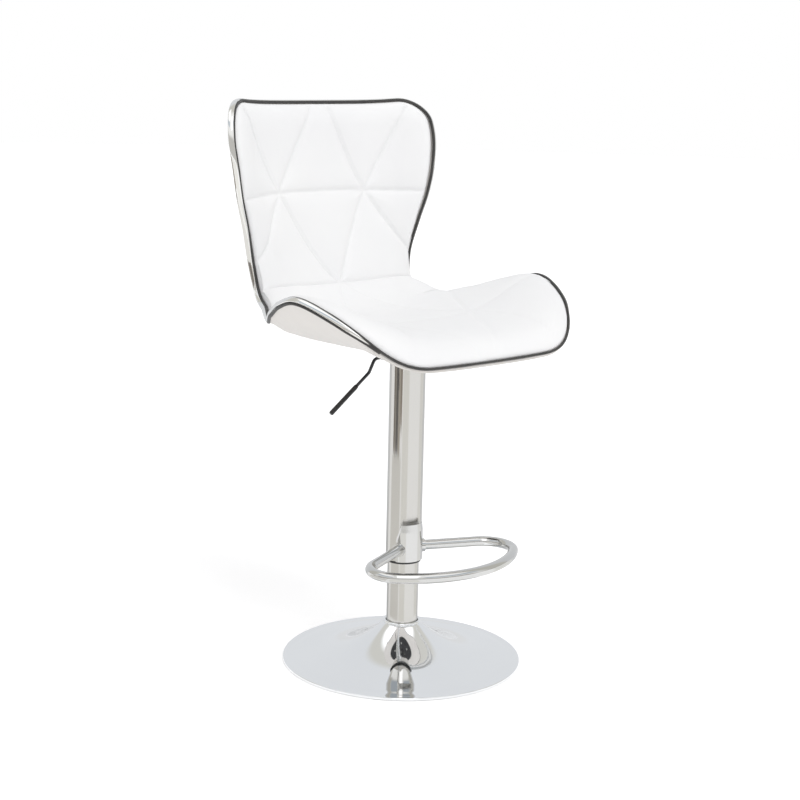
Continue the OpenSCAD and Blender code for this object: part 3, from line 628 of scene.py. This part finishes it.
def base_profile():
    edge = BR - 1.2
    top = [(edge - (edge - FLAT) * i / 36, RIM - 0.15 + (FZ - RIM + 0.15) * i / 36) for i in range(36)]
    top = [(r, z - 0.5 * math.sin(math.pi * min(1, (edge - r) / 24)) ** 2) for r, z in top]
    rim = [(edge + 1.2 * math.sin(a), RIM - 1.35 + 1.2 * math.cos(a)) for a in np.linspace(math.pi / 2, 0, 7)]
    outer = [(BR, 1.0)] + rim + top[1:] + sweep_arc(SWEEP, 61.6)
    bead = [(27.9 + 2.4 * math.cos(a), 63.8 + 2.4 * math.sin(a)) for a in np.linspace(-0.9, math.pi * 0.95, 18)]
    inner = [(25.7, 62.2)] + [(x + 1.2, z - 1.2) for x, z in sweep_arc(SWEEP, 60.0)[::-4]]
    return outer + bead + inner + [(BR - 1.6, RIM - 1.7), (BR - 1.6, 1.0)]


lathe("base_dish", base_profile(), "base", "base_shell", 256)
lathe("column_lower", [(25, 11.5), (25, 419.4), (24.7, 420), (23.5, 420), (23.5, 11.5)], "base",
      "lower_tube")
UR = 28.25
lathe("column_upper", [(UR, 168.5), (UR, 488.5), (UR - 1.2, 488.5), (UR - 1.2, 168), (UR - 0.5, 168)],
      "seat_column", "upper_tube")

# ---------------------------------------------------------------- footrest
arm = math.radians(24)
arm_dir = np.array([math.cos(arm), -math.sin(arm)])
inward = np.array([-math.sin(arm), -math.cos(arm)])
FOOT_Z, BOW, CORNER = 188.0, 175.0, 44.0
a0 = np.array([24.0, -16.0])
q0 = a0 - (0, 1) + CORNER * inward
qb, qc = q0 @ arm_dir, q0 @ q0 - (BOW - CORNER) ** 2
reach = -qb + math.sqrt(qb * qb - qc)
cor = q0 + reach * arm_dir + (0, 1)
bow_half = math.atan2(cor[0], 1 - cor[1])
half_path = [a0 + arm_dir * s for s in np.linspace(4, reach - 2, 12)]
half_path += [cor + CORNER * np.array([math.cos(a), math.sin(a)])
              for a in np.linspace(math.pi / 2 - arm, bow_half - math.pi / 2, 30)]
half_path += [np.array([0, 1]) + BOW * np.array([math.cos(a), math.sin(a)])
              for a in np.linspace(bow_half - math.pi / 2, -math.pi / 2, 26)[1:]]
path = [(p[0], p[1], FOOT_Z) for p in half_path] + [(-p[0], p[1], FOOT_Z) for p in half_path[-2::-1]]
tube("footrest_loop", path, 8.0, "seat_column", "footrest_ring", 36)

# ---------------------------------------------------------------- lever
bent = fillet([(5, 0, 500.2), (-26, 0, 498.4), (-68, 0, 497), (-79, 0, 476.5), (-150.5, 0, 423)], 10)
tube("lever_bar", bent, 2.5, "lever", "lever_rod", 20, (0, 1, 0))
g0, g1 = np.array([-103.0, 0, 458.5]), np.array([-153.0, 0, 421.2])
gd = (g1 - g0) / np.linalg.norm(g1 - g0)
glen = float(np.linalg.norm(g1 - g0))
prof = [(0, 2.7), (0.4, 3.2), (1.4, 3.5), (3, 3.6), (glen * 0.5, 3.6),
        (glen - 2.5, 3.7), (glen - 0.8, 3.5), (glen, 2.6)]
tube("lever_sleeve", [g0 + gd * s for s, _ in prof], [r for _, r in prof], "lever", "lever_grip", 24,
     (0, 1, 0))


# ---------------------------------------------------------------- floor, light and surroundings
def plain(name, color, rough=0.9):
    m = Mat(name, color, rough)
    m.tint(m.noise(3, 2), 0.3, 0.7, tuple(v * 0.995 for v in color), color)
    return m.m


def card(name, verts, mat, camera=True):
    me = bpy.data.meshes.new(name)
    me.from_pydata(verts, [], [tuple(range(len(verts)))])
    me.materials.append(mat)
    o = bpy.data.objects.new(name, me)
    bpy.context.scene.collection.objects.link(o)
    o.visible_camera = camera
    return o


white_floor = plain("floor_white", (0.93, 0.93, 0.93))
glow = white_floor.node_tree.nodes["Principled BSDF"]
glow.inputs["Emission Color"].default_value = (1, 1, 1, 1)
glow.inputs["Emission Strength"].default_value = 0.25
card("floor", [(14 * math.cos(a), 14 * math.sin(a), 0) for a in np.arange(48) * math.pi / 24], white_floor)


TOWARD_CAM = Vector((math.sin(AZ), -math.cos(AZ), 0))
SIDE = Vector((math.cos(AZ), math.sin(AZ), 0))


def light(name, kind, power, away):
    """A light that lies along the direction away from what it lights, unseen in reflections."""
    d = bpy.data.lights.new(name, kind)
    d.energy = power
    o = bpy.data.objects.new(name, d)
    o.rotation_euler = away.to_track_quat("Z", "Y").to_euler()
    o.visible_glossy = False
    bpy.context.scene.collection.objects.link(o)
    return o, d


overhead_at = Vector((0.2, -0.4, 3.4))
overhead, d = light("overhead", "AREA", 9.5, overhead_at - Vector((0, 0, 0.4)))
overhead.location = overhead_at
d.shape, d.size = "SQUARE", 2.6
_, d = light("soft_key", "SUN", 1.0, TOWARD_CAM * 0.44 + SIDE * 0.30 + Vector((0, 0, 0.66)))
d.angle = math.radians(30)


# Cards on the floor that only reflections see: dark flooring out on the left, faint tones elsewhere.
def sector(name, r0, r1, a0, a1, color):
    """A flat card on the floor between two radii and two angles round from the camera's direction."""
    angs = [math.radians(a) for a in np.linspace(a0, a1, 9)]
    verts = [tuple(TOWARD_CAM * r * math.cos(a) - SIDE * r * math.sin(a) + Vector((0, 0, 0.004)))
             for r, row in ((r0, angs), (r1, angs[::-1])) for a in row]
    o = card(name, verts, plain(name, color, 0.7), False)
    o.visible_shadow = o.visible_diffuse = False


sector("flooring_a", 1.72, 7.0, 29, 41, (0.32, 0.27, 0.22))
sector("flooring_b", 1.42, 7.0, 41, 55, (0.47, 0.43, 0.37))
sector("flooring_c", 1.44, 7.0, 55, 71, (0.13, 0.12, 0.11))
sector("flooring_d", 1.42, 7.0, 71, 79, (0.36, 0.33, 0.29))
sector("flooring_e", 1.45, 7.0, 79, 89, (0.22, 0.19, 0.16))
sector("tone_middle", 0.26, 9.0, -14, 24, (1.0, 0.99, 0.95))
sector("tone_left", 0.26, 1.42, 31, 97, (0.885, 0.87, 0.835))
sector("tone_right", 0.26, 9.0, -126, -92, (1.0, 0.995, 0.965))
sector("tone_behind", 0.192, 12.0, 120, 240, (0.79, 0.80, 0.812))

world = bpy.data.worlds.new("studio")
bpy.context.scene.world = world
world.use_nodes = True
wt = world.node_tree
wt.nodes.clear()


def wn(kind, **props):
    n = wt.nodes.new(kind)
    for k, v in props.items():
        setattr(n, k, v)
    return n


def wmath(op, a, b=0.0):
    n = wn("ShaderNodeMath", operation=op)
    for i, v in enumerate((a, b)):
        if isinstance(v, (int, float)):
            n.inputs[i].default_value = v
        else:
            wt.links.new(v, n.inputs[i])
    return n.outputs[0]


def wstep(v, lo, hi):
    n = wn("ShaderNodeMapRange", interpolation_type="SMOOTHSTEP")
    n.inputs["From Min"].default_value = lo
    n.inputs["From Max"].default_value = hi
    wt.links.new(v, n.inputs["Value"])
    return n.outputs["Result"]


def wdot(vec, axis):
    n = wn("ShaderNodeVectorMath", operation="DOT_PRODUCT")
    wt.links.new(vec, n.inputs[0])
    n.inputs[1].default_value = axis
    return n.outputs["Value"]


def wmix(fac, a, b):
    n = wn("ShaderNodeMix", data_type="RGBA")
    wt.links.new(fac, n.inputs["Factor"])
    for key, v in (("A", a), ("B", b)):
        s = [i for i in n.inputs if i.name == key and i.type == "RGBA"][0]
        if isinstance(v, tuple):
            s.default_value = (*v, 1)
        else:
            wt.links.new(v, s)
    return [o for o in n.outputs if o.type == "RGBA"][0]


ray = wn("ShaderNodeTexCoord").outputs["Generated"]
toward = wdot(ray, TOWARD_CAM)
across = wdot(ray, SIDE)
height = wdot(ray, (0, 0, 1))
# In reflections: pale blue-grey behind the stool, a touch duller low down there, warm grey
# overhead, a bright wall in front that is grey low down, and two bright windows high up at the
# sides. Otherwise an even dome.
wide = wmath("ABSOLUTE", across)
wall = wmix(wstep(toward, -0.60, -0.46), (0.80, 0.815, 0.835), (0.69, 0.68, 0.635))
low_behind = wmath("MULTIPLY", wstep(height, 0.17, 0.06), wstep(toward, -0.90, -0.97))
wall = wmix(low_behind, wall, (0.775, 0.78, 0.785))
front_low = wmath("MULTIPLY", wstep(toward, 0.1, 0.4), wstep(height, 0.34, 0.22))
wall = wmix(wstep(toward, -0.12, 0.2), wall, (1.05, 1.05, 1.04))
wall = wmix(front_low, wall, (0.62, 0.61, 0.585))
# halfway up in front: a cool grey stretch either side of a bright opening
mid_up = wmath("MULTIPLY", wstep(height, 0.40, 0.48), wstep(height, 0.72, 0.64))
mid_up = wmath("MULTIPLY", mid_up, wstep(toward, 0.0, 0.12))
flank = wmath("MULTIPLY", mid_up, wstep(wide, 0.30, 0.36))
wall = wmix(flank, wall, (0.60, 0.66, 0.73))
opening = wmath("MULTIPLY", wstep(height, 0.40, 0.46), wstep(toward, 0.3, 0.4))
opening = wmath("MULTIPLY", opening, wstep(wmath("ABSOLUTE", wmath("SUBTRACT", across, 0.06)), 0.20, 0.14))
wall = wmix(opening, wall, (2.1, 2.1, 2.15))
left_side = wstep(across, 0.1, -0.1)
lit = wmath("MULTIPLY", wstep(wide, 0.20, 0.30), wstep(wide, 0.72, 0.62))
lit = wmath("MULTIPLY", lit, wstep(wmath("ADD", toward, wmath("MULTIPLY", left_side, 0.22)), -0.10, 0.06))
lit = wmath("MULTIPLY", lit, wstep(height, 0.66, 0.76))
wall = wmix(lit, wall, (1.35, 1.35, 1.35))
path_node = wn("ShaderNodeLightPath")
final = wmix(path_node.outputs["Is Glossy Ray"], (0.745, 0.745, 0.75), wall)
final = wmix(path_node.outputs["Is Camera Ray"], final, (1, 1, 1))
bg = wn("ShaderNodeBackground")
wt.links.new(final, bg.inputs["Color"])
bg.inputs["Strength"].default_value = 1.0
out = wn("ShaderNodeOutputWorld")
wt.links.new(bg.outputs[0], out.inputs["Surface"])
